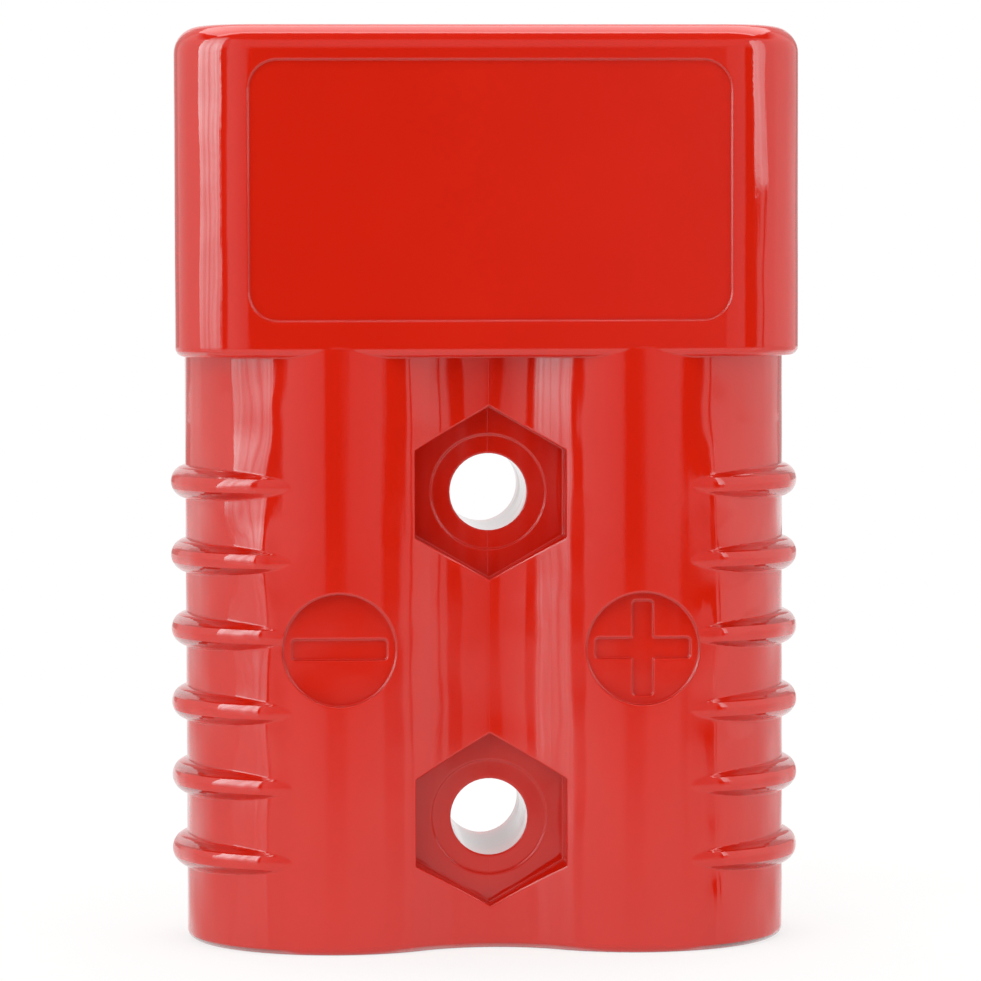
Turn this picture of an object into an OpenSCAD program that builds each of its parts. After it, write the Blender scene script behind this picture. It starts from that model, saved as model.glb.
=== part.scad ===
// Two-pole genderless power connector: a one-piece moulded housing that holds two flat-blade
// contacts, each pressed towards its mate by a leaf spring.
// It stands on its cable end. X runs across the two poles, -Y is the label side and
// Z runs from the cable end to the mating end. The mate is the same part turned over about X.

/* [Head] */
// Width of the head across both poles
head_w = 71; // [70:0.1:74]
// Depth of the head from the label side to the back
head_t = 34.9; // [34.4:0.1:36.4]
// Length of the head
head_l = 37.3; // [35:0.1:42]
// Corner radius of the head, seen from the mating end
head_corner_r = 9; // [7.5:0.1:10]
// Rounding of the mating edge
mating_edge_r = 3; // [1:0.1:3.1]
// Rounding of the head's lower edge, above the barrels
step_edge_r = 1; // [0.4:0.1:1.6]

/* [Barrels and web] */
// Length of the barrels, from the cable end to the head
body_l = 67.4; // [66.5:0.1:74]
// Distance between the axes of the two barrels
pole_pitch = 34.2; // [33.8:0.1:35.2]
// How far the barrel crowns stand out of the flat faces of the head
crown_proud = 0.05; // [0.03:0.01:0.3]
// Thickness of the web between the barrels, at the bottom of its two valleys
web_t = 24.5; // [23.5:0.1:26]
// Rounding of the cable-end edge
end_edge_r = 1; // [0.4:0.1:1.5]
// Bevel at the mouth of each cable bore
mouth_bevel = 0.8; // [0.3:0.1:1.2]

/* [Grip ribs] */
// Number of ribs on each side
rib_count = 6; // [3:1:6]
// Distance from one rib to the next
rib_pitch = 8.5; // [6:0.1:8.8]
// Height of the lowest rib above the cable end
rib_first_z = 10.4; // [6:0.1:11]
// Radius of the rounded rim of a rib
rib_rim_r = 1.97; // [1.5:0.01:2.3]
// How far a rib stands out at the side of its barrel
rib_proud = 1.68; // [0.8:0.01:1.9]
// Distance outboard of the barrel axis at which a rib has run out
rib_end_x = 5.4; // [4:0.1:9]

/* [Bolt holes and nut pockets] */
// Diameter of the bolt holes
bolt_hole_d = 8.8; // [7:0.1:9.2]
// Distance between the bolt holes
bolt_spacing = 37.2; // [34:0.1:38]
// Height of the lower bolt hole above the cable end
bolt_first_z = 14.7; // [12.5:0.1:16]
// Width across flats of a nut pocket
nut_af = 17.1; // [14:0.1:17.5]
// Depth of a nut pocket below the face of the web
nut_pocket_depth = 3; // [1:0.1:3.4]
// Diameter of the washer seat in the floor of a nut pocket
washer_seat_d = 13.1; // [10:0.1:13.6]
// Depth of the washer seat
washer_seat_depth = 0.2; // [0.1:0.05:0.4]

/* [Label recess and polarity signs] */
// Width of the label recess
label_w = 54.2; // [40:0.1:55]
// Height of the label recess
label_h = 29.2; // [20:0.1:30]
// Corner radius of the label recess
label_r = 3.3; // [1:0.1:6]
// Depth of the label recess
label_depth = 0.3; // [0.1:0.05:0.6]
// Diameter of a sign disc
disc_d = 12.8; // [11.8:0.1:14]
// Height of the sign discs above the cable end
disc_z = 34.5; // [28:0.1:40]
// Depth of a sign disc below the crown of its barrel
disc_depth = 1.45; // [1.2:0.05:1.9]
// Length of a bar of a sign
sign_l = 10.8; // [8:0.1:11.2]
// Width of a bar of a sign
sign_w = 2.4; // [1.4:0.1:3]
// Corner radius of a sign
sign_r = 0.45; // [0.2:0.05:0.6]
// Depth of a sign below the floor of its disc
sign_depth = 0.45; // [0.2:0.05:0.8]

/* [Mating interface] */
// Wall of the hood round the two chambers
hood_wall = 3.7; // [3.3:0.1:4.1]
// Width of the key between the two chambers
key_w = 4.6; // [3.5:0.1:5.4]
// Length of the full-depth part of the head, below the tongues
flange_l = 8; // [6:0.1:10]
// Distance from the mating edge down to the tip of a tongue
tongue_setback = 0.8; // [0.5:0.1:2]
// Rounding of the tip of a tongue
tongue_tip_r = 1.5; // [0.5:0.1:2]
// Wall that closes the tip of a tongue
tip_wall = 2; // [1.5:0.1:3]
// Length of the bar that the contact hooks over
latch_bar_l = 2.6; // [2:0.1:3.5]
// Clearance between this housing and its mate, and at the plane in which they meet
mate_gap = 0.3; // [0.2:0.05:0.4]

/* [Contacts] */
// Outer diameter of the crimp barrel
crimp_d = 20; // [19:0.1:20.4]
// Length of the crimp barrel
crimp_l = 30; // [27:0.1:34]
// Diameter of the wire bore
wire_bore_d = 14.4; // [12:0.1:15.5]
// Depth of the wire bore
wire_bore_l = 25; // [20:0.1:25.5]
// Diameter of the inspection hole in the crimp barrel
sight_hole_d = 3; // [2:0.1:4]
// Length of the neck between the crimp barrel and the blade
neck_l = 8.3; // [6:0.1:10]
// Length of the blade
blade_l = 39.2; // [37:0.1:41]
// Width of the blade
blade_w = 19; // [17:0.1:19.4]
// Thickness of the blade
blade_t = 6; // [5:0.1:6.4]
// Length of the hook at the tip of the blade
hook_l = 3.5; // [3:0.1:4.5]
// Height of the hook below the blade
hook_h = 3; // [2:0.1:3.5]
// Rounding of the nose of the blade
nose_r = 2.4; // [1:0.1:2.8]
// Clearance round the crimp barrel in the housing
crimp_gap = 1; // [0.9:0.05:1.1]
// Clearance round the blade in the housing
blade_gap = 0.3; // [0.2:0.05:0.4]

/* [Springs] */
// Width of a leaf spring
spring_w = 15; // [12:0.1:16.5]
// Thickness of a leaf spring
spring_t = 0.9; // [0.6:0.05:1.2]
// Clearance at each end of a leaf spring
spring_end_gap = 0.6; // [0.3:0.1:1]
// Depth of the space for the spring behind the blade
spring_room = 4.4; // [3.8:0.1:5]
// Clearance between the spring and the blade
spring_seat_gap = 0.05; // [0.03:0.01:0.1]

/* [Hidden] */

$fn = 72;
plastic_red = [0.83, 0.14, 0.07];
silver_plate = [0.80, 0.80, 0.78];
spring_steel = [0.60, 0.61, 0.63];
cut = 1;                                          // how far a cutter runs past a face
bite = 0.02;                                      // how far a valley runs into the barrels beside it

housing_l = body_l + head_l;
barrel_r = head_t / 2 + crown_proud;
pole_x = pole_pitch / 2;
cable_bore_d = crimp_d + 2 * crimp_gap;
label_z = body_l + head_l / 2;
web_face_y = web_t / 2;
// Radius of the valley that lies on the web and touches both barrels
valley_r = (pow(pole_x, 2) + pow(web_face_y, 2) - pow(barrel_r - bite, 2))
           / (2 * (barrel_r - bite - web_face_y));
valley_y = web_face_y + valley_r;
nut_floor_y = web_face_y - nut_pocket_depth;
bolt_zs = [bolt_first_z, bolt_first_z + bolt_spacing];

// Heights along the mating end, from the mating edge down
flange_z = body_l + flange_l;
tongue_tip_z = housing_l - tongue_setback;
hook_room_z = tongue_tip_z - tip_wall;            // upper end of the contact channel
nose_z = hook_room_z - mate_gap;                  // tip of the blade
hook_z = nose_z - hook_l;
latch_top_z = hook_z - blade_gap;
latch_z = latch_top_z - latch_bar_l;
channel_z = nose_z - blade_l;                     // lower end of the contact channel
neck_z = channel_z - neck_l;
crimp_z = neck_z - crimp_l;

channel_w = blade_w + 2 * blade_gap;
channel_floor_y = blade_t + spring_room;
key_slot_w = key_w + 2 * mate_gap;
split_y = mate_gap / 2;                           // each half ends this far from the meeting plane

// A rectangle on the X axis whose upper and lower corners are rounded
module rounded_profile(w, h, top_r, bottom_r) {
    difference() {
        translate([-w / 2, 0])
            square([w, h]);
        for (side = [-1, 1]) {
            if (top_r > 0)
                translate([side * (w / 2 - top_r), h - top_r])
                    corner_waste(top_r, side, 1);
            if (bottom_r > 0)
                translate([side * (w / 2 - bottom_r), bottom_r])
                    corner_waste(bottom_r, side, -1);
        }
    }
}

// What a rounding of radius r takes off a corner that points to (side_x, side_y)
module corner_waste(r, side_x, side_y) {
    difference() {
        translate([side_x > 0 ? 0 : -r - cut, side_y > 0 ? 0 : -r - cut])
            square(r + cut);
        circle(r);
    }
}

// The right-hand half of rounded_profile, for turning about Z
module turned_profile(r, h, top_r, bottom_r) {
    intersection() {
        rounded_profile(2 * r, h, top_r, bottom_r);
        square([r, h]);
    }
}

// An upright block with round corners, and edges rounded all the way round
module rounded_block(w, t, h, corner_r, top_r, bottom_r) {
    rotate([90, 0, 0])
        linear_extrude(t - 2 * corner_r, center = true)
            rounded_profile(w, h, top_r, bottom_r);
    rotate([90, 0, 90])
        linear_extrude(w - 2 * corner_r, center = true)
            rounded_profile(t, h, top_r, bottom_r);
    for (quarter = [0:3])
        translate([(quarter == 0 || quarter == 3 ? 1 : -1) * (w / 2 - corner_r),
                   (quarter < 2 ? 1 : -1) * (t / 2 - corner_r), 0])
            rotate([0, 0, 90 * quarter])
                rotate_extrude(angle = 90)
                    turned_profile(corner_r, h, top_r, bottom_r);
}

// A flat rectangle with four round corners
module rounded_plate(w, h, r) {
    square([w - 2 * r, h], center = true);
    square([w, h - 2 * r], center = true);
    for (x = [-1, 1], y = [-1, 1])
        translate([x * (w / 2 - r), y * (h / 2 - r)])
            circle(r);
}

// Puts a child at both poles, the positive one on +X
module at_poles() {
    for (side = [-1, 1])
        translate([side * pole_x, 0, 0])
            children();
}

// Extrudes an outline in the XZ plane from y1 to y2
module slab_y(y1, y2) {
    translate([0, y2, 0])
        rotate([90, 0, 0])
            linear_extrude(y2 - y1)
                children();
}

// Extrudes an outline drawn as (y, z) over the width w, centred on x = 0
module slab_x(w) {
    rotate([90, 0, 90])
        linear_extrude(w, center = true)
            children();
}

// ---- Outside of the housing ----

module barrel_outside() {
    rotate_extrude()
        turned_profile(barrel_r, body_l + step_edge_r, 0, end_edge_r);
}

// What a valley takes away, about its own axis: it flares where it runs over the cable-end edge
module valley_waste() {
    translate([0, 0, -cut])
        rotate_extrude() {
            square([valley_r, body_l + step_edge_r + 2 * cut]);
            difference() {
                square([valley_r + end_edge_r, end_edge_r + cut]);
                translate([valley_r + end_edge_r, end_edge_r + cut])
                    circle(end_edge_r);
            }
        }
}

// The web, whose outline runs from the axis of each valley into the two barrels
module web_outside() {
    toward_barrel = [pole_x, -valley_y] / norm([pole_x, valley_y]);
    inner = [0, valley_y] + (valley_r + 2 * end_edge_r + cut) * toward_barrel;
    difference() {
        linear_extrude(body_l + step_edge_r)
            polygon([[0, valley_y], inner, [inner.x, -inner.y],
                     [0, -valley_y], -inner, [-inner.x, inner.y]]);
        for (y = [-1, 1])
            translate([0, y * valley_y, 0])
                valley_waste();
    }
}

// One grip rib: a disc with a round rim, set outboard so that it runs out into the crown
module rib() {
    outer_r = barrel_r + rib_proud;
    shift_x = (pow(outer_r, 2) - pow(barrel_r, 2)) / (2 * (outer_r - rib_end_x));
    rim_x = outer_r - shift_x - rib_rim_r;
    translate([shift_x, 0, 0])
        rotate_extrude() {
            translate([0, -rib_rim_r])
                square([rim_x, 2 * rib_rim_r]);
            translate([rim_x, 0])
                intersection() {
                    circle(rib_rim_r);
                    translate([0, -rib_rim_r])
                        square([rib_rim_r, 2 * rib_rim_r]);
                }
        }
}

module ribs() {
    for (turn = [0, 180], i = [0:rib_count - 1])
        rotate([0, 0, turn])
            translate([pole_x, 0, rib_first_z + i * rib_pitch])
                rib();
}

module housing_outside() {
    at_poles()
        barrel_outside();
    web_outside();
    ribs();
    translate([0, 0, body_l])
        rounded_block(head_w, head_t, head_l, head_corner_r, mating_edge_r, step_edge_r);
}

// ---- What is cut into the outside ----

module label_recess() {
    slab_y(-head_t, -head_t / 2 + label_depth)
        translate([0, label_z])
            rounded_plate(label_w, label_h, label_r);
}

module nut_pockets() {
    for (z = bolt_zs) {
        slab_y(-head_t, -nut_floor_y)
            translate([0, z])
                rotate(30)
                    circle(d = nut_af / cos(30), $fn = 6);
        slab_y(-head_t, -nut_floor_y + washer_seat_depth)
            translate([0, z])
                circle(d = washer_seat_d);
        slab_y(-head_t, head_t)
            translate([0, z])
                circle(d = bolt_hole_d);
    }
}

// A sunk disc with a bar, and a second bar across it for plus
module polarity_mark(plus) {
    disc_y = -barrel_r + disc_depth;
    slab_y(-head_t, disc_y)
        translate([0, disc_z])
            circle(d = disc_d);
    slab_y(-head_t, disc_y + sign_depth)
        translate([0, disc_z]) {
            rounded_plate(sign_l, sign_w, sign_r);
            if (plus)
                rounded_plate(sign_w, sign_l, sign_r);
        }
}

// ---- Inside of the housing ----

// The two chambers of the hood, parted by the key, that take the tongues of the mate
module hood_chambers() {
    chamber_w = head_w - 2 * hood_wall;
    chamber_t = head_t - 2 * hood_wall;
    translate([0, 0, flange_z])
        linear_extrude(head_l)
            difference() {
                intersection() {
                    rounded_plate(chamber_w, chamber_t, head_corner_r - hood_wall);
                    translate([-head_w, -head_t])
                        square([2 * head_w, head_t - split_y]);
                }
                translate([-key_w / 2, -head_t])
                    square([key_w, 2 * head_t]);
            }
}

// What is left of the head behind the meeting plane, once the tongues are taken out of it
module tongue_surround() {
    inset = hood_wall + mate_gap;
    difference() {
        translate([-head_w, -split_y, flange_z])
            cube([2 * head_w, head_t, head_l]);
        difference() {
            translate([0, 0, flange_z - cut])
                rounded_block(head_w - 2 * inset, head_t - 2 * inset, tongue_tip_z - flange_z + cut,
                              head_corner_r - inset, tongue_tip_r, 0);
            translate([-head_w, split_y - 2 * head_t, flange_z - 2 * cut])
                cube([2 * head_w, 2 * head_t, 2 * head_l]);
            translate([-key_slot_w / 2, -head_t, flange_z - 2 * cut])
                cube([key_slot_w, 2 * head_t, 2 * head_l]);
        }
    }
}

// The way of one contact through the housing: cable bore, then the channel of blade and spring
module contact_way() {
    translate([0, 0, -cut])
        cylinder(d = cable_bore_d, h = channel_z + blade_gap + cut);
    translate([0, 0, -cut])
        cylinder(d1 = cable_bore_d + 2 * (mouth_bevel + cut), d2 = cable_bore_d, h = mouth_bevel + cut);
    difference() {
        translate([-channel_w / 2, -blade_gap, channel_z])
            cube([channel_w, channel_floor_y + blade_gap, hook_room_z - channel_z]);
        translate([-channel_w, blade_t + blade_gap, latch_z])
            cube([2 * channel_w, spring_room + cut, latch_bar_l]);
    }
}

module housing() {
    color(plastic_red)
        difference() {
            housing_outside();
            label_recess();
            nut_pockets();
            translate([-pole_x, 0, 0])
                polarity_mark(false);
            translate([pole_x, 0, 0])
                polarity_mark(true);
            hood_chambers();
            tongue_surround();
            at_poles()
                contact_way();
        }
}

// ---- Contacts and springs ----

// Side view of neck, blade and hook, as (y, z): the contact face lies on y = 0
module blade_outline() {
    difference() {
        union() {
            polygon([[0, channel_z], [0, nose_z], [blade_t, nose_z], [blade_t, channel_z]]);
            translate([0, hook_z])
                square([blade_t + hook_h, hook_l]);
        }
        translate([nose_r, nose_z - nose_r])
            corner_waste(nose_r, -1, 1);
    }
}

module neck_outline() {
    polygon([[-crimp_d / 2, neck_z - cut], [-crimp_d / 2, neck_z], [0, channel_z], [0, channel_z + cut],
             [blade_t, channel_z + cut], [blade_t, channel_z], [crimp_d / 2, neck_z],
             [crimp_d / 2, neck_z - cut]]);
}

module contact() {
    color(silver_plate)
        difference() {
            union() {
                translate([0, 0, crimp_z])
                    cylinder(d = crimp_d, h = crimp_l);
                intersection() {
                    slab_x(blade_w)
                        neck_outline();
                    translate([0, 0, crimp_z])
                        cylinder(d = crimp_d, h = crimp_l + neck_l + blade_l);
                }
                slab_x(blade_w)
                    blade_outline();
            }
            translate([0, 0, crimp_z - cut])
                cylinder(d = wire_bore_d, h = wire_bore_l + cut);
            translate([0, 0, crimp_z + wire_bore_l - 2 * sight_hole_d])
                rotate([90, 0, 0])
                    cylinder(d = sight_hole_d, h = crimp_d);
        }
}

// A leaf bowed towards the blade, with its ends on the floor of the channel
module spring() {
    rise = channel_floor_y - blade_t - spring_seat_gap;
    half_l = (latch_z - channel_z) / 2 - spring_end_gap;
    bow_r = (pow(half_l, 2) + pow(rise, 2)) / (2 * rise);
    color(spring_steel)
        slab_x(spring_w)
            intersection() {
                translate([blade_t + spring_seat_gap + bow_r, (latch_z + channel_z) / 2])
                    difference() {
                        circle(bow_r);
                        circle(bow_r - spring_t);
                    }
                translate([0, channel_z])
                    square([channel_floor_y, latch_z - channel_z]);
            }
}

module contact_negative() {
    translate([-pole_x, 0, 0])
        contact();
}

module contact_positive() {
    translate([pole_x, 0, 0])
        contact();
}

module spring_negative() {
    translate([-pole_x, 0, 0])
        spring();
}

module spring_positive() {
    translate([pole_x, 0, 0])
        spring();
}

housing();
contact_negative();
contact_positive();
spring_negative();
spring_positive();
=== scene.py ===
import math
import bpy
from mathutils import Matrix, Vector


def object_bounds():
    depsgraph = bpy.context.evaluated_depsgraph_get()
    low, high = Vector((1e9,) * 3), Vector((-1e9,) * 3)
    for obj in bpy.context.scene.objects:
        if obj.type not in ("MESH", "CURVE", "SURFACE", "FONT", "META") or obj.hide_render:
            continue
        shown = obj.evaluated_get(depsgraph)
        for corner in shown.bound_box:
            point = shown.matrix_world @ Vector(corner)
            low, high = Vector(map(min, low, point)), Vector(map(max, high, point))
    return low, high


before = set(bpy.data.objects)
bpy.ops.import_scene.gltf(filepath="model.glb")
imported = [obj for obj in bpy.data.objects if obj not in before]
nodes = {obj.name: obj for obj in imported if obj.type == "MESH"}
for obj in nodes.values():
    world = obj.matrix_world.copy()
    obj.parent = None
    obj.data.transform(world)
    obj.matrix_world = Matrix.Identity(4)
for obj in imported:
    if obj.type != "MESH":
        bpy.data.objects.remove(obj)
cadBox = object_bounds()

mm = 0.001
low, high = cadBox
middle = (low + high) / 2


# Turns an sRGB hex colour to linear RGBA
def hexToLinear(text):
    channels = [int(text[i:i + 2], 16) / 255 for i in (1, 3, 5)]
    linear = [c / 12.92 if c <= 0.04045 else ((c + 0.055) / 1.055) ** 2.4 for c in channels]
    return (*linear, 1.0)


# Adds a node. Settings whose name is an input go to that socket, the rest to the node.
# A link is (input, source node, output).
def addNode(tree, kind, settings=None, links=()):
    node = tree.nodes.new(kind)
    for name, value in (settings or {}).items():
        if isinstance(name, int) or name in node.inputs:
            node.inputs[name].default_value = value
        else:
            setattr(node, name, value)
    for socket, source, output in links:
        tree.links.new(source.outputs[output], node.inputs[socket])
    return node


def newMaterial(name):
    material = bpy.data.materials.new(name)
    material.use_nodes = True
    material.node_tree.nodes.clear()
    return material, material.node_tree


def dress(nodeName, material):
    for materialSlot in nodes[nodeName].material_slots:
        materialSlot.material = material


# Housing: polycarbonate, moulded in polished steel

housing = {
    "colour": "#D1210D",
    "colourDeep": "#C81B09",      # of the slight clouds in the pigment
    "cloudSize": 14.0,            # mm
    "roughness": 0.06,
    "roughnessSpread": 0.04,
    "ior": 1.58,
    "waveSize": 11.0,             # mm between the long waves that cooling leaves in thick plastic
    "waveHeight": 0.35,           # mm for the pattern's full swing, of which it uses about a third
    "sinkHeight": 1.5,            # mm, between the ribs, where thick plastic sinks
    "sinkFrom": (21.0, 27.0),     # mm from the middle to the ribbed flanks
    "sinkTop": (50.0, 60.0),      # mm above the cable end
    "cleanDepth": (0.15, 2.2),    # mm behind the front and back faces over which the waves set in
    "levelSlope": (0.8, 0.4),     # size of the normal's Z over which they set in off level faces
    "flowSize": (3.0, 3.0, 26.0),   # mm, the streaks that the melt leaves along the barrels
    "flowHeight": 0.08,           # mm
    "peelSize": 0.9,              # mm, the skin of the mould, drawn about twice as coarse to show
    "peelHeight": 0.005,          # mm
    "edgeRadius": 0.34,           # mm, how soft the moulded edges are
    "edgeSamples": 12,
    "knitWidth": 0.12,            # mm, the hairline where the melt meets behind a bolt hole
    "knitDepth": 0.006,           # mm
    "knitTop": 67.0,              # mm above the cable end, at the foot of the head
}


# Red polycarbonate with a polished skin: deep red head on, with sharp and slightly wavy reflections
def makePolycarbonate():
    p = housing
    material, tree = newMaterial("red_polycarbonate_polished_mould")
    place = addNode(tree, "ShaderNodeTexCoord")
    clouds = addNode(tree, "ShaderNodeTexNoise", {"Scale": 1 / (p["cloudSize"] * mm), "Detail": 3.0},
                     [("Vector", place, "Object")])
    tint = addNode(tree, "ShaderNodeMix", {"data_type": "RGBA", 6: hexToLinear(p["colour"]),
                                           7: hexToLinear(p["colourDeep"])},
                   [(0, clouds, "Fac")])
    gloss = addNode(tree, "ShaderNodeMapRange",
                    {"To Min": p["roughness"] - p["roughnessSpread"] / 2,
                     "To Max": p["roughness"] + p["roughnessSpread"] / 2},
                    [("Value", clouds, "Fac")])
    edges = addNode(tree, "ShaderNodeBevel",
                    {"samples": p["edgeSamples"], "Radius": p["edgeRadius"] * mm})
    waves = addNode(tree, "ShaderNodeTexNoise", {"Scale": 1 / (p["waveSize"] * mm), "Detail": 1.0,
                                                 "Roughness": 0.4},
                    [("Vector", place, "Object")])
    along = addNode(tree, "ShaderNodeVectorMath",
                    {"operation": "MULTIPLY", 1: [1 / (size * mm) for size in p["flowSize"]]},
                    [(0, place, "Object")])
    flow = addNode(tree, "ShaderNodeTexNoise", {"Scale": 1.0, "Detail": 1.0}, [("Vector", along, 0)])
    peel = addNode(tree, "ShaderNodeTexNoise", {"Scale": 1 / (p["peelSize"] * mm), "Detail": 2.0},
                   [("Vector", place, "Object")])
    split = addNode(tree, "ShaderNodeSeparateXYZ", links=[("Vector", place, "Object")])
    across = addNode(tree, "ShaderNodeMath", {"operation": "ABSOLUTE"}, [(0, split, "X")])
    fromMiddle = addNode(tree, "ShaderNodeMath", {"operation": "ABSOLUTE"}, [(0, split, "Y")])
    flank = addNode(tree, "ShaderNodeMapRange",
                    {"interpolation_type": "SMOOTHSTEP", "From Min": high.y - p["cleanDepth"][0] * mm,
                     "From Max": high.y - p["cleanDepth"][1] * mm},
                    [("Value", fromMiddle, 0)])
    outer = addNode(tree, "ShaderNodeMapRange",
                    {"interpolation_type": "SMOOTHSTEP", "From Min": p["sinkFrom"][0] * mm,
                     "From Max": p["sinkFrom"][1] * mm},
                    [("Value", across, 0)])
    ribFoot = addNode(tree, "ShaderNodeMapRange",
                      {"interpolation_type": "SMOOTHSTEP", "From Min": p["sinkTop"][1] * mm,
                       "From Max": p["sinkTop"][0] * mm},
                      [("Value", split, "Z")])
    ribbed = addNode(tree, "ShaderNodeMath", {"operation": "MULTIPLY"},
                     [(0, outer, "Result"), (1, ribFoot, "Result")])
    depth = addNode(tree, "ShaderNodeMapRange",
                    {"To Min": p["waveHeight"] * mm, "To Max": p["sinkHeight"] * mm},
                    [("Value", ribbed, 0)])
    facing = addNode(tree, "ShaderNodeSeparateXYZ", links=[("Vector", place, "Normal")])
    slope = addNode(tree, "ShaderNodeMath", {"operation": "ABSOLUTE"}, [(0, facing, "Z")])
    upright = addNode(tree, "ShaderNodeMapRange",
                      {"From Min": p["levelSlope"][0], "From Max": p["levelSlope"][1]},
                      [("Value", slope, 0)])
    skinned = addNode(tree, "ShaderNodeMath", {"operation": "MULTIPLY"},
                      [(0, flank, "Result"), (1, upright, "Result")])
    swing = addNode(tree, "ShaderNodeMath", {"operation": "MULTIPLY"},
                    [(0, skinned, 0), (1, depth, "Result")])
    relief = addNode(tree, "ShaderNodeMath", {"operation": "MULTIPLY"},
                     [(0, waves, "Fac"), (1, swing, 0)])
    streaks = addNode(tree, "ShaderNodeMath", {"operation": "MULTIPLY"},
                      [(0, flow, "Fac"), (1, skinned, 0)])
    trough = addNode(tree, "ShaderNodeMapRange",
                     {"interpolation_type": "SMOOTHSTEP", "From Max": p["knitWidth"] * mm,
                      "To Min": -1.0, "To Max": 0.0},
                     [("Value", across, 0)])
    below = addNode(tree, "ShaderNodeMath", {"operation": "LESS_THAN", 1: p["knitTop"] * mm},
                    [(0, split, "Z")])
    knit = addNode(tree, "ShaderNodeMath", {"operation": "MULTIPLY"},
                   [(0, trough, "Result"), (1, below, 0)])
    bumpWaves = addNode(tree, "ShaderNodeBump", {"Strength": 1.0, "Distance": 1.0},
                        [("Height", relief, 0), ("Normal", edges, "Normal")])
    bumpFlow = addNode(tree, "ShaderNodeBump", {"Strength": 1.0, "Distance": p["flowHeight"] * mm},
                       [("Height", streaks, 0), ("Normal", bumpWaves, "Normal")])
    bumpPeel = addNode(tree, "ShaderNodeBump", {"Strength": 1.0, "Distance": p["peelHeight"] * mm},
                       [("Height", peel, "Fac"), ("Normal", bumpFlow, "Normal")])
    bumpKnit = addNode(tree, "ShaderNodeBump", {"Strength": 1.0, "Distance": p["knitDepth"] * mm},
                       [("Height", knit, 0), ("Normal", bumpPeel, "Normal")])
    skin = addNode(tree, "ShaderNodeBsdfPrincipled", {"IOR": p["ior"]},
                   [("Base Color", tint, 2), ("Roughness", gloss, "Result"),
                    ("Normal", bumpKnit, "Normal")])
    addNode(tree, "ShaderNodeOutputMaterial", links=[("Surface", skin, "BSDF")])
    return material


dress("housing", makePolycarbonate())
print("housing dressed")

# Contacts: copper with a silver plate

contacts = {
    "colour": "#EEECE6",
    "colourDull": "#D8D3C6",      # where the plate has begun to tarnish
    "tarnishSize": 6.0,           # mm
    "roughness": 0.24,
    "roughnessSpread": 0.14,
    "drawLineSize": 0.25,         # mm between the drawing lines, coarser than real so that they show
    "drawLineHeight": 0.002,      # mm
    "drawLineStretch": 0.03,      # width of a line as a share of its length
}


# Silver-plated copper: a soft white metal with a faint warm bloom and fine lines along its length
def makeSilverPlate():
    p = contacts
    material, tree = newMaterial("silver_plated_copper")
    place = addNode(tree, "ShaderNodeTexCoord")
    bloom = addNode(tree, "ShaderNodeTexNoise", {"Scale": 1 / (p["tarnishSize"] * mm), "Detail": 4.0},
                    [("Vector", place, "Object")])
    tint = addNode(tree, "ShaderNodeMix", {"data_type": "RGBA", 6: hexToLinear(p["colour"]),
                                           7: hexToLinear(p["colourDull"])},
                   [(0, bloom, "Fac")])
    gloss = addNode(tree, "ShaderNodeMapRange",
                    {"To Min": p["roughness"] - p["roughnessSpread"] / 2,
                     "To Max": p["roughness"] + p["roughnessSpread"] / 2},
                    [("Value", bloom, "Fac")])
    stretch = addNode(tree, "ShaderNodeVectorMath",
                      {"operation": "MULTIPLY", 1: (1.0, 1.0, p["drawLineStretch"])},
                      [(0, place, "Object")])
    lines = addNode(tree, "ShaderNodeTexNoise", {"Scale": 1 / (p["drawLineSize"] * mm), "Detail": 2.0},
                    [("Vector", stretch, 0)])
    bump = addNode(tree, "ShaderNodeBump", {"Strength": 1.0, "Distance": p["drawLineHeight"] * mm},
                   [("Height", lines, "Fac")])
    metal = addNode(tree, "ShaderNodeBsdfPrincipled", {"Metallic": 1.0},
                    [("Base Color", tint, 2), ("Roughness", gloss, "Result"),
                     ("Normal", bump, "Normal")])
    addNode(tree, "ShaderNodeOutputMaterial", links=[("Surface", metal, "BSDF")])
    return material


silverPlate = makeSilverPlate()
dress("contact_negative", silverPlate)
dress("contact_positive", silverPlate)
print("contacts dressed")

# Leaf springs: cold-rolled stainless strip

springs = {
    "colour": "#B9BBBE",
    "colourDark": "#A2A4A8",
    "roughness": 0.32,
    "roughnessSpread": 0.12,
    "rollLineSize": 0.3,          # mm between rolling lines, coarser than real so that they show
    "rollLineHeight": 0.002,      # mm
    "rollLineStretch": 0.02,      # width of a line as a share of its length
}


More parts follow.
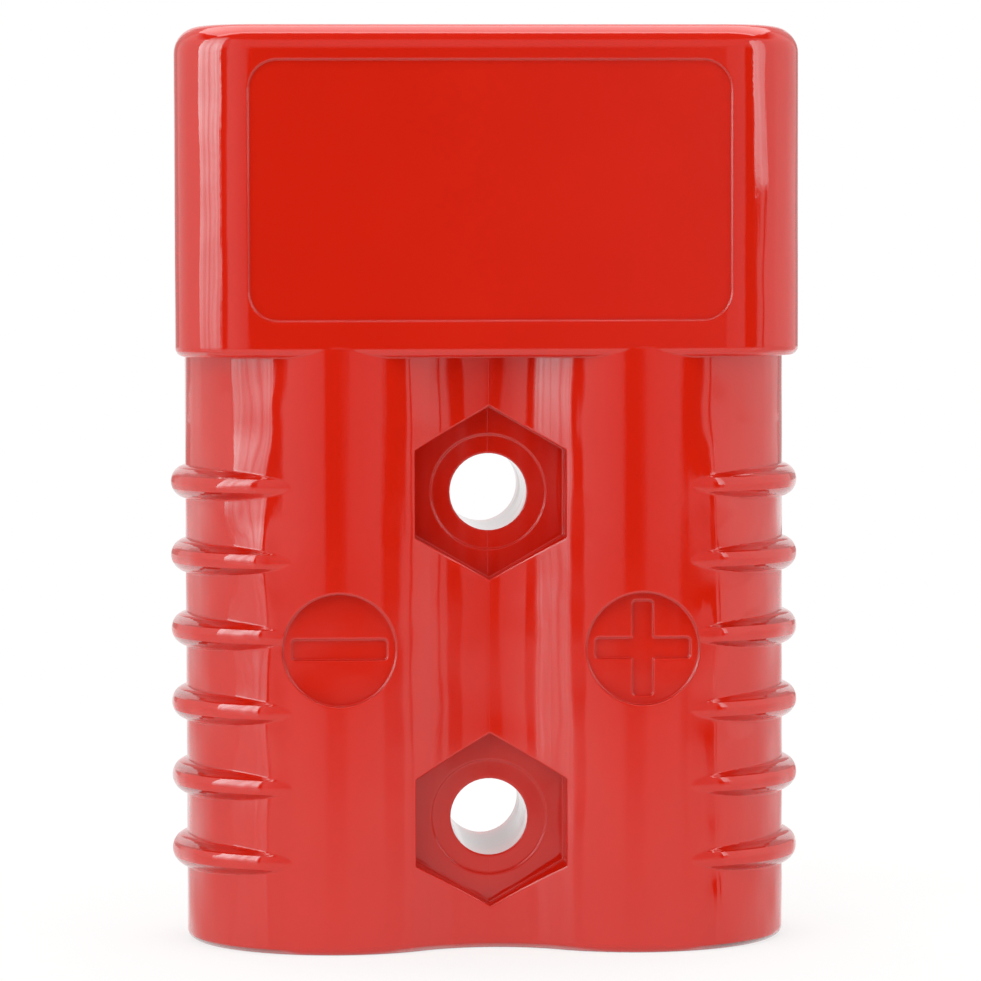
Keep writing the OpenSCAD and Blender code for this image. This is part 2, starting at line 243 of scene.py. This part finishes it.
# Rolled stainless strip: grey, half bright, with fine lines along the leaf
def makeStainlessStrip():
    p = springs
    material, tree = newMaterial("stainless_strip_rolled")
    place = addNode(tree, "ShaderNodeTexCoord")
    stretch = addNode(tree, "ShaderNodeVectorMath",
                      {"operation": "MULTIPLY", 1: (1.0, 1.0, p["rollLineStretch"])},
                      [(0, place, "Object")])
    lines = addNode(tree, "ShaderNodeTexNoise", {"Scale": 1 / (p["rollLineSize"] * mm), "Detail": 3.0},
                    [("Vector", stretch, 0)])
    tint = addNode(tree, "ShaderNodeMix", {"data_type": "RGBA", 6: hexToLinear(p["colour"]),
                                           7: hexToLinear(p["colourDark"])},
                   [(0, lines, "Fac")])
    gloss = addNode(tree, "ShaderNodeMapRange",
                    {"To Min": p["roughness"] - p["roughnessSpread"] / 2,
                     "To Max": p["roughness"] + p["roughnessSpread"] / 2},
                    [("Value", lines, "Fac")])
    bump = addNode(tree, "ShaderNodeBump", {"Strength": 1.0, "Distance": p["rollLineHeight"] * mm},
                   [("Height", lines, "Fac")])
    metal = addNode(tree, "ShaderNodeBsdfPrincipled", {"Metallic": 1.0},
                    [("Base Color", tint, 2), ("Roughness", gloss, "Result"),
                     ("Normal", bump, "Normal")])
    addNode(tree, "ShaderNodeOutputMaterial", links=[("Surface", metal, "BSDF")])
    return material


stainless = makeStainlessStrip()
dress("spring_negative", stainless)
dress("spring_positive", stainless)
print("springs dressed")

# Studio: white floor, a ring of pale cards for the gloss, and softboxes

studio = {
    "floorColour": "#F4F4F2",
    "floorPaintedShade": "#85827A",      # painted shade of the floor in front, darker where the lamps' light would fall off
    "floorRoughness": 0.10,       # as the object mirrors it, with the cards in its gloss
    "floorHalf": 1.5,             # m
    "floorFront": 0.72,           # m of floor in front of the object
    "whiteBehind": (-0.2, 0.0),   # m in Y over which the floor turns plain white for the gloss
    "floorPaintedShadeRange": (0.12, 0.50),     # m in front of the object over which the painted shade on the floor sets in, in place of the light fading
    "shadowGlow": 0.75,           # share of the floor beside the object that stays white for the camera
    "shadowReach": 0.30,          # m from the object at which the floor is plain white
    "ambient": 0.33,              # what the world lights with
    "ceiling": 0.05,              # what the gloss sees overhead
    "ceilingFrom": (0.66, 0.76),  # sine of the elevation at which the front cards end
    "frontSheet": 0.55,           # the pale sheet above the camera
    "frontSheetFrom": (0.22, 0.34),
}
# Brightness of the cards that the gloss sees, by bearing in degrees: 0 is straight in front of the
# label side, and the bearing grows towards the positive pole
cardRing = [
    (-180, 1.0), (-166, 1.0), (-164, 0.5), (-146, 0.5), (-144, 0.9), (-110, 1.0), (-88, 1.25),
    (-85, 0.9), (-43.5, 0.8), (-42.5, 0.0), (-35.5, 0.0), (-34.5, 0.95), (-11, 0.50), (-8.5, 0.02),
    (1.5, 0.02), (5.5, 0.15), (8, 0.42), (30.5, 0.6), (31.5, 0.0), (46, 0.0), (47, 0.9), (52, 0.9),
    (53, 0.05), (55, 0.05), (56, 1.1), (90, 1.25), (144, 0.9), (146, 0.5), (164, 0.5), (166, 1.0),
    (180, 1.0),
]
# Softboxes, in metres. Those with gloss are what the object mirrors and those with light give the
# light, so that each has the strength it needs. The profile is the brightness by share of the
# height, and the folds are streaks in the cloth
plain = [(0, 1.0), (1, 1.0)]
clothStreak = (0.6, 1.4)          # darkest and lightest of the streaks
noiseRange = (0.3, 0.7)           # what the noise behind them keeps to
standingSoftboxes = {
    "keyCard": {"bearing": -64, "distance": 0.62, "lower": 0.0, "width": 0.46, "height": 0.90,
                "brightness": 6.6, "profile": [(0, 0.28), (0.05, 0.38), (0.09, 0.50), (0.16, 0.90),
                                               (0.35, 1.0), (1, 0.2)],
                "folds": 9.0, "colour": (0.62, 1.0, 1.03), "gloss": True, "light": False},
    "stripCard": {"bearing": 50.5, "distance": 0.60, "lower": 0.10, "width": 0.17, "height": 0.40,
                  "brightness": 3.6, "profile": plain, "folds": 4.0, "colour": (0.70, 1.0, 1.03),
                  "gloss": True, "light": False},
    "keyLight": {"bearing": -58, "distance": 0.64, "lower": 0.0, "width": 0.50, "height": 0.60,
                 "brightness": 1.8, "profile": plain, "folds": 0.0, "colour": (1, 1, 1),
                 "gloss": False, "light": True},
    "fillLight": {"bearing": 62, "distance": 0.64, "lower": 0.0, "width": 0.50, "height": 0.60,
                  "brightness": 1.8, "profile": plain, "folds": 0.0, "colour": (1, 1, 1),
                  "gloss": False, "light": True},
    "frontLight": {"bearing": -24, "distance": 0.80, "lower": 0.22, "width": 0.50, "height": 0.50,
                   "brightness": 2.2, "profile": plain, "folds": 0.0, "colour": (1, 1, 1),
                   "gloss": False, "light": True},
}
hangingSoftboxes = {
    "backTop": {"above": 0.70, "front": -0.05, "back": 0.62, "half": 0.40, "brightness": 2.7,
                "profile": plain, "folds": 0.0, "colour": (1, 1, 1), "gloss": True, "light": True},
    "edgeTop": {"above": 0.70, "front": -0.14, "back": -0.05, "half": 0.40, "brightness": 4.6,
                "profile": plain, "folds": 0.0, "colour": (1, 1, 1), "gloss": True, "light": False},
    "frontTop": {"above": 0.70, "front": -0.60, "back": -0.14, "half": 0.40, "brightness": 2.1,
                 "profile": plain, "folds": 0.0, "colour": (1, 1, 1), "gloss": False, "light": True},
}


def bearingVector(degrees):
    return Vector((math.sin(math.radians(degrees)), -math.cos(math.radians(degrees)), 0))


# Sets the stops of a colour ramp to (position, grey level) pairs
def setStops(ramp, levels):
    stops = ramp.color_ramp.elements
    for i, (position, level) in enumerate(levels):
        stop = stops[i] if i < 2 else stops.new(position)   # a new ramp has two
        stop.position = position
        stop.color = (level, level, level, 1)


# White for the camera, the ring of cards for the gloss, and plain grey light for the rest
def makeWorld():
    world = bpy.data.worlds.new("studio")
    bpy.context.scene.world = world
    world.use_nodes = True
    tree = world.node_tree
    tree.nodes.clear()
    place = addNode(tree, "ShaderNodeTexCoord")
    split = addNode(tree, "ShaderNodeSeparateXYZ", links=[("Vector", place, "Generated")])
    front = addNode(tree, "ShaderNodeMath", {"operation": "MULTIPLY", 1: -1.0}, [(0, split, "Y")])
    bearing = addNode(tree, "ShaderNodeMath", {"operation": "ARCTAN2"},
                      [(0, split, "X"), (1, front, 0)])
    turn = addNode(tree, "ShaderNodeMapRange", {"From Min": -math.pi, "From Max": math.pi},
                   [("Value", bearing, 0)])
    ring = addNode(tree, "ShaderNodeValToRGB", links=[("Fac", turn, "Result")])
    setStops(ring, [((degrees + 180) / 360, level) for degrees, level in cardRing])
    climb = addNode(tree, "ShaderNodeMapRange",
                    {"From Min": studio["frontSheetFrom"][0], "From Max": studio["frontSheetFrom"][1],
                     "To Max": studio["frontSheet"]},
                    [("Value", split, "Z")])
    sheet = addNode(tree, "ShaderNodeMath", {"operation": "MAXIMUM"},
                    [(0, ring, "Color"), (1, climb, "Result")])
    rise = addNode(tree, "ShaderNodeMapRange",
                   {"From Min": studio["ceilingFrom"][0], "From Max": studio["ceilingFrom"][1]},
                   [("Value", split, "Z")])
    overhead = addNode(tree, "ShaderNodeMix",
                       {"data_type": "RGBA", 7: (studio["ceiling"],) * 3 + (1,)},
                       [(0, rise, "Result"), (6, sheet, 0)])
    ray = addNode(tree, "ShaderNodeLightPath")
    seen = addNode(tree, "ShaderNodeMix", {"data_type": "RGBA", 6: (studio["ambient"],) * 3 + (1,)},
                   [(0, ray, "Is Glossy Ray"), (7, overhead, 2)])
    clear = addNode(tree, "ShaderNodeMath", {"operation": "MAXIMUM"},
                    [(0, ray, "Is Camera Ray"), (1, ray, "Is Transmission Ray")])
    colour = addNode(tree, "ShaderNodeMix", {"data_type": "RGBA", 7: (1, 1, 1, 1)},
                     [(0, clear, 0), (6, seen, 2)])
    sky = addNode(tree, "ShaderNodeBackground", links=[("Color", colour, 2)])
    addNode(tree, "ShaderNodeOutputWorld", links=[("Surface", sky, "Background")])


def makeStageSheet(name, corners, material):
    mesh = bpy.data.meshes.new(name)
    mesh.from_pydata(corners, [], [(0, 1, 2, 3)])
    mesh.materials.append(material)
    sheet = bpy.data.objects.new(name, mesh)
    bpy.context.scene.collection.objects.link(sheet)
    return sheet


# White laminate: plain white far off and behind, with a soft shadow round the object. Its colour is
# painted darker in front, a painted shade where the lamps' light would fall off, seen mostly in the
# object's reflections. Its gloss mirrors the cards, so that the object's own reflections carry on down
# to its foot
def makeFloor():
    material, tree = newMaterial("white_laminate")
    place = addNode(tree, "ShaderNodeTexCoord")
    split = addNode(tree, "ShaderNodeSeparateXYZ", links=[("Vector", place, "Object")])
    # painted shade: the floor's colour darkens towards the front, in place of light falling off
    paintedFade = addNode(tree, "ShaderNodeMapRange",
                   {"interpolation_type": "SMOOTHSTEP", "From Min": -studio["floorPaintedShadeRange"][0],
                    "From Max": -studio["floorPaintedShadeRange"][1]},
                   [("Value", split, "Y")])
    tint = addNode(tree, "ShaderNodeMix",
                   {"data_type": "RGBA", 6: hexToLinear(studio["floorColour"]),
                    7: hexToLinear(studio["floorPaintedShade"])},
                   [(0, paintedFade, "Result")])
    board = addNode(tree, "ShaderNodeBsdfDiffuse", links=[("Color", tint, 2)])
    gloss = addNode(tree, "ShaderNodeBsdfPrincipled", {"Roughness": studio["floorRoughness"]},
                    [("Base Color", tint, 2)])
    glow = addNode(tree, "ShaderNodeEmission", {"Strength": 1.0})
    away = addNode(tree, "ShaderNodeVectorMath", {"operation": "LENGTH"}, [(0, place, "Object")])
    seen = addNode(tree, "ShaderNodeMapRange",
                   {"interpolation_type": "SMOOTHSTEP", "From Min": high.x,
                    "From Max": studio["shadowReach"], "To Min": studio["shadowGlow"]},
                   [("Value", away, "Value")])
    behind = addNode(tree, "ShaderNodeMapRange",
                     {"From Min": studio["whiteBehind"][0], "From Max": studio["whiteBehind"][1]},
                     [("Value", split, "Y")])
    ray = addNode(tree, "ShaderNodeLightPath")
    toCamera = addNode(tree, "ShaderNodeMath", {"operation": "MULTIPLY"},
                       [(0, seen, "Result"), (1, ray, "Is Camera Ray")])
    toGloss = addNode(tree, "ShaderNodeMath", {"operation": "MULTIPLY"},
                      [(0, behind, "Result"), (1, ray, "Is Glossy Ray")])
    share = addNode(tree, "ShaderNodeMath", {"operation": "MAXIMUM"},
                    [(0, toCamera, 0), (1, toGloss, 0)])
    laminate = addNode(tree, "ShaderNodeMixShader",
                       links=[(0, ray, "Is Glossy Ray"), (1, board, "BSDF"), (2, gloss, "BSDF")])
    mix = addNode(tree, "ShaderNodeMixShader",
                  links=[(0, share, 0), (1, laminate, "Shader"), (2, glow, "Emission")])
    addNode(tree, "ShaderNodeOutputMaterial", links=[("Surface", mix, "Shader")])
    half, frontEdge = studio["floorHalf"], -studio["floorFront"]
    makeStageSheet("floor", [(-half, frontEdge, low.z), (half, frontEdge, low.z), (half, half, low.z),
                             (-half, half, low.z)], material)


# Diffuser cloth lit from behind, with soft folds
def makeSoftbox(name, corners, p):
    material, tree = newMaterial(name + "_cloth")
    place = addNode(tree, "ShaderNodeTexCoord")
    split = addNode(tree, "ShaderNodeSeparateXYZ", links=[("Vector", place, "Generated")])
    profile = addNode(tree, "ShaderNodeValToRGB", links=[("Fac", split, "Z")])
    setStops(profile, p["profile"])
    fold = addNode(tree, "ShaderNodeMath", {"operation": "MULTIPLY", 1: p["folds"]},
                   [(0, split, "X")])
    streaks = addNode(tree, "ShaderNodeTexNoise",
                      {"noise_dimensions": "1D", "Scale": 1.0, "Detail": 1.5}, [("W", fold, 0)])
    streak = addNode(tree, "ShaderNodeMapRange",
                     {"From Min": noiseRange[0], "From Max": noiseRange[1],
                      "To Min": clothStreak[0], "To Max": clothStreak[1]},
                     [("Value", streaks, "Fac")])
    level = addNode(tree, "ShaderNodeMath", {"operation": "MULTIPLY"},
                    [(0, profile, "Color"), (1, streak, "Result")])
    strength = addNode(tree, "ShaderNodeMath", {"operation": "MULTIPLY", 1: p["brightness"]},
                       [(0, level, 0)])
    glow = addNode(tree, "ShaderNodeEmission", {"Color": (*p["colour"], 1)},
                   [("Strength", strength, 0)])
    addNode(tree, "ShaderNodeOutputMaterial", links=[("Surface", glow, "Emission")])
    box = makeStageSheet(name, corners, material)
    box.visible_camera = False
    box.visible_shadow = False
    box.visible_glossy = p["gloss"]
    box.visible_diffuse = p["light"]


def makeStandingSoftbox(name, p):
    centre = bearingVector(p["bearing"]) * p["distance"]
    across = Vector((centre.y, -centre.x, 0)).normalized() * p["width"] / 2
    makeSoftbox(name, [centre + across * side + Vector((0, 0, p["lower"] + p["height"] * up))
                       for side, up in ((-1, 0), (1, 0), (1, 1), (-1, 1))], p)


def makeHangingSoftbox(name, p):
    front, back = p["front"], p["back"]
    makeSoftbox(name, [(side * p["half"], reach, p["above"])
                       for side, reach in ((-1, front), (1, front), (1, back), (-1, back))], p)


makeWorld()
makeFloor()
for softboxName, softbox in standingSoftboxes.items():
    makeStandingSoftbox(softboxName, softbox)
for softboxName, softbox in hangingSoftboxes.items():
    makeHangingSoftbox(softboxName, softbox)
print("studio lit")

camera = {
    "lens": 164.1,                # mm
    "sensor": 36.0,               # mm
    "clip": (0.01, 20.0),         # m
    "offset": (-24.966, -517.684, 24.09),   # mm from the middle of the object
    "yaw": 0.0496,                # radians, turned towards the positive pole
    "pitch": -0.0479,
    "roll": -0.0026,
}


def makeCamera():
    p = camera
    data = bpy.data.cameras.new("camera")
    data.lens, data.sensor_width = p["lens"], p["sensor"]
    data.clip_start, data.clip_end = p["clip"]
    eye = bpy.data.objects.new("camera", data)
    bpy.context.scene.collection.objects.link(eye)
    yaw, pitch, roll = p["yaw"], p["pitch"], p["roll"]
    forward = Vector((math.sin(yaw) * math.cos(pitch), math.cos(yaw) * math.cos(pitch),
                      math.sin(pitch)))
    right = Vector((math.cos(yaw), -math.sin(yaw), 0))
    up = right.cross(forward)
    side = right * math.cos(roll) + up * math.sin(roll)
    top = up * math.cos(roll) - right * math.sin(roll)
    turn = Matrix((side, top, -forward)).transposed()
    eye.matrix_world = Matrix.Translation(middle + Vector(p["offset"]) * mm) @ turn.to_4x4()
    bpy.context.scene.camera = eye


makeCamera()
bpy.context.scene.view_settings.view_transform = "Standard"
print("camera placed")
